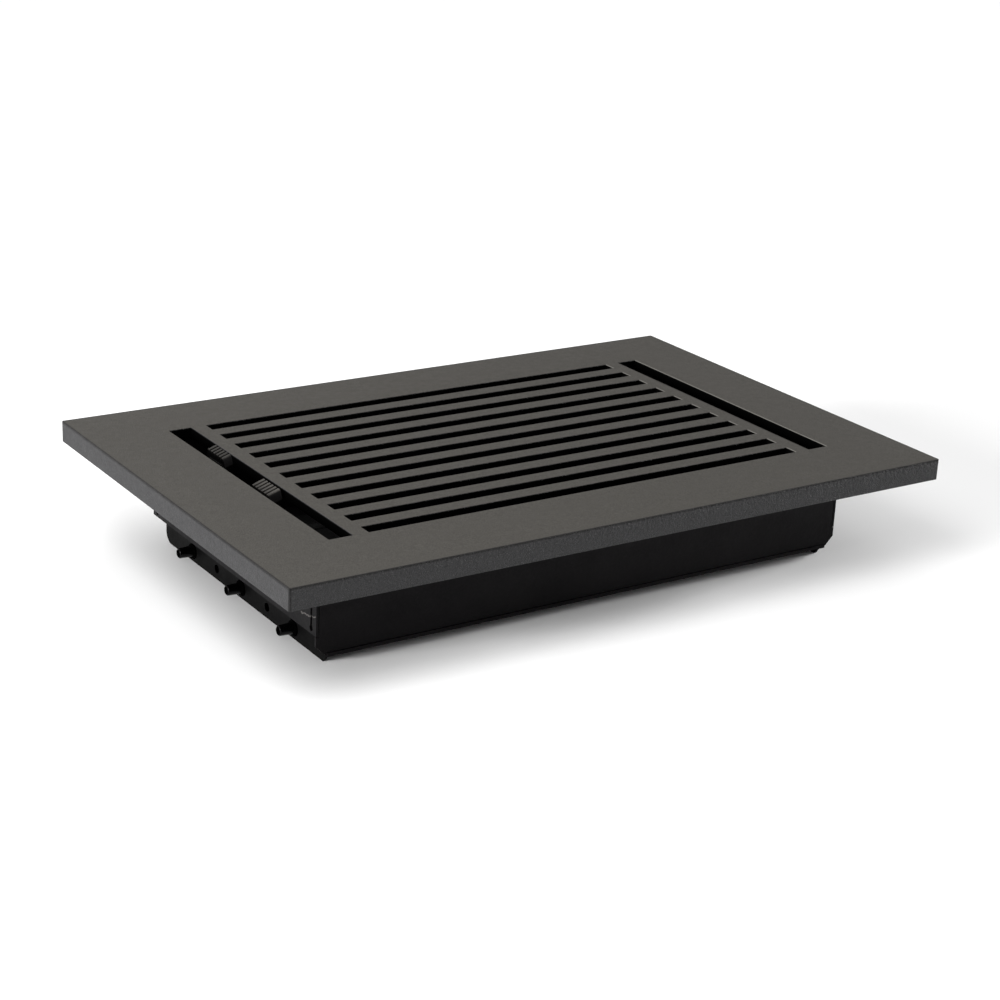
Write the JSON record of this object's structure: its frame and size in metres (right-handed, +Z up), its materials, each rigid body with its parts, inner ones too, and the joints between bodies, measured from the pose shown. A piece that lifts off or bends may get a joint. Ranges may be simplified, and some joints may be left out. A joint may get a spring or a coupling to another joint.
{
  "type": "floor register",
  "caption": "Rectangular floor register: slotted metal face plate on a shallow damper box with pivoting blades worked by thumb tabs.",
  "frame": {"origin": "centre of the footprint, on the plane of the lowest edge of the damper box", "axes": "+X along the slots, thumb tabs at the -X end; +Y towards the back; +Z up through the face plate, damper closed"},
  "size_m": [0.2984, 0.1968, 0.0477],
  "materials": {
    "powder_coat": "matt fine-textured powder coat, warm dark grey",
    "box_steel": "satin black paint on sheet steel",
    "end_steel": "satin black-grey paint on sheet steel",
    "blade_steel": "satin black paint on pressed steel",
    "bar_steel": "plain zinc-plated strip",
    "black_plastic": "moulded nylon, satin",
    "thumb_plastic": "moulded nylon, satin, ribbed",
    "zinc": "zinc-plated steel fasteners"
  },
  "bodies": {
    "frame": {"faceplate": "powder_coat", "front_side_wall": "box_steel", "rear_side_wall": "box_steel", "left_end_rail": "end_steel", "right_end_rail": "end_steel", "left_end_plate": "end_steel", "right_end_plate": "end_steel", "link_guide_front": "black_plastic", "link_guide_rear": "black_plastic", "plate_screw_1": "zinc", "plate_screw_2": "zinc", "plate_screw_3": "zinc", "plate_screw_4": "zinc", "left_rail_rivet_1": "zinc", "left_rail_rivet_2": "zinc", "left_rail_rivet_3": "zinc", "left_rail_rivet_4": "zinc", "right_rail_rivet_1": "zinc", "right_rail_rivet_2": "zinc", "right_rail_rivet_3": "zinc", "right_rail_rivet_4": "zinc", "guide_rivet_1": "zinc", "guide_rivet_2": "zinc", "guide_rivet_3": "zinc", "guide_rivet_4": "zinc"},
    "shutter_a": {"link_bar_a": "bar_steel", "thumb_tab_a": "thumb_plastic"},
    "shutter_b": {"link_bar_b": "bar_steel", "thumb_tab_b": "thumb_plastic"},
    "louvre_1": {"damper_blade_1": "blade_steel", "blade_crank_1": "black_plastic", "blade_pivot_1": "black_plastic"},
    "louvre_2": {"damper_blade_2": "blade_steel", "blade_crank_2": "black_plastic", "blade_pivot_2": "black_plastic"},
    "louvre_3": {"damper_blade_3": "blade_steel", "blade_crank_3": "black_plastic", "blade_pivot_3": "black_plastic"},
    "louvre_4": {"damper_blade_4": "blade_steel", "blade_crank_4": "black_plastic", "blade_pivot_4": "black_plastic"},
    "louvre_5": {"damper_blade_5": "blade_steel", "blade_crank_5": "black_plastic", "blade_pivot_5": "black_plastic"}
  },
  "joints": [
    {"name": "thumb_a_slide", "type": "slide", "parent": "frame", "child": "shutter_a", "axis": [0, -1, 0], "range_m": [0, 0.01339]},
    {"name": "thumb_b_slide", "type": "slide", "parent": "frame", "child": "shutter_b", "axis": [0, -1, 0], "range_m": [0, 0.01339]},
    {"name": "louvre_1_hinge", "type": "hinge", "parent": "frame", "child": "louvre_1", "pos_m": [0, -0.0427, 0.0044], "axis": [1, 0, 0], "range_deg": [0, 76]},
    {"name": "louvre_2_hinge", "type": "hinge", "parent": "frame", "child": "louvre_2", "pos_m": [0, -0.02135, 0.0044], "axis": [1, 0, 0], "range_deg": [0, 76]},
    {"name": "louvre_3_hinge", "type": "hinge", "parent": "frame", "child": "louvre_3", "pos_m": [0, 0, 0.0044], "axis": [1, 0, 0], "range_deg": [0, 76]},
    {"name": "louvre_4_hinge", "type": "hinge", "parent": "frame", "child": "louvre_4", "pos_m": [0, 0.02135, 0.0044], "axis": [1, 0, 0], "range_deg": [0, 76]},
    {"name": "louvre_5_hinge", "type": "hinge", "parent": "frame", "child": "louvre_5", "pos_m": [0, 0.0427, 0.0044], "axis": [1, 0, 0], "range_deg": [0, 76]}
  ],
  "couplings": [
    {"joint": "louvre_1_hinge", "follows": "thumb_a_slide", "rad_per_m": 97.74},
    {"joint": "louvre_2_hinge", "follows": "thumb_b_slide", "rad_per_m": 97.74},
    {"joint": "louvre_3_hinge", "follows": "thumb_a_slide", "rad_per_m": 97.74},
    {"joint": "louvre_4_hinge", "follows": "thumb_b_slide", "rad_per_m": 97.74},
    {"joint": "louvre_5_hinge", "follows": "thumb_a_slide", "rad_per_m": 97.74}
  ]
}
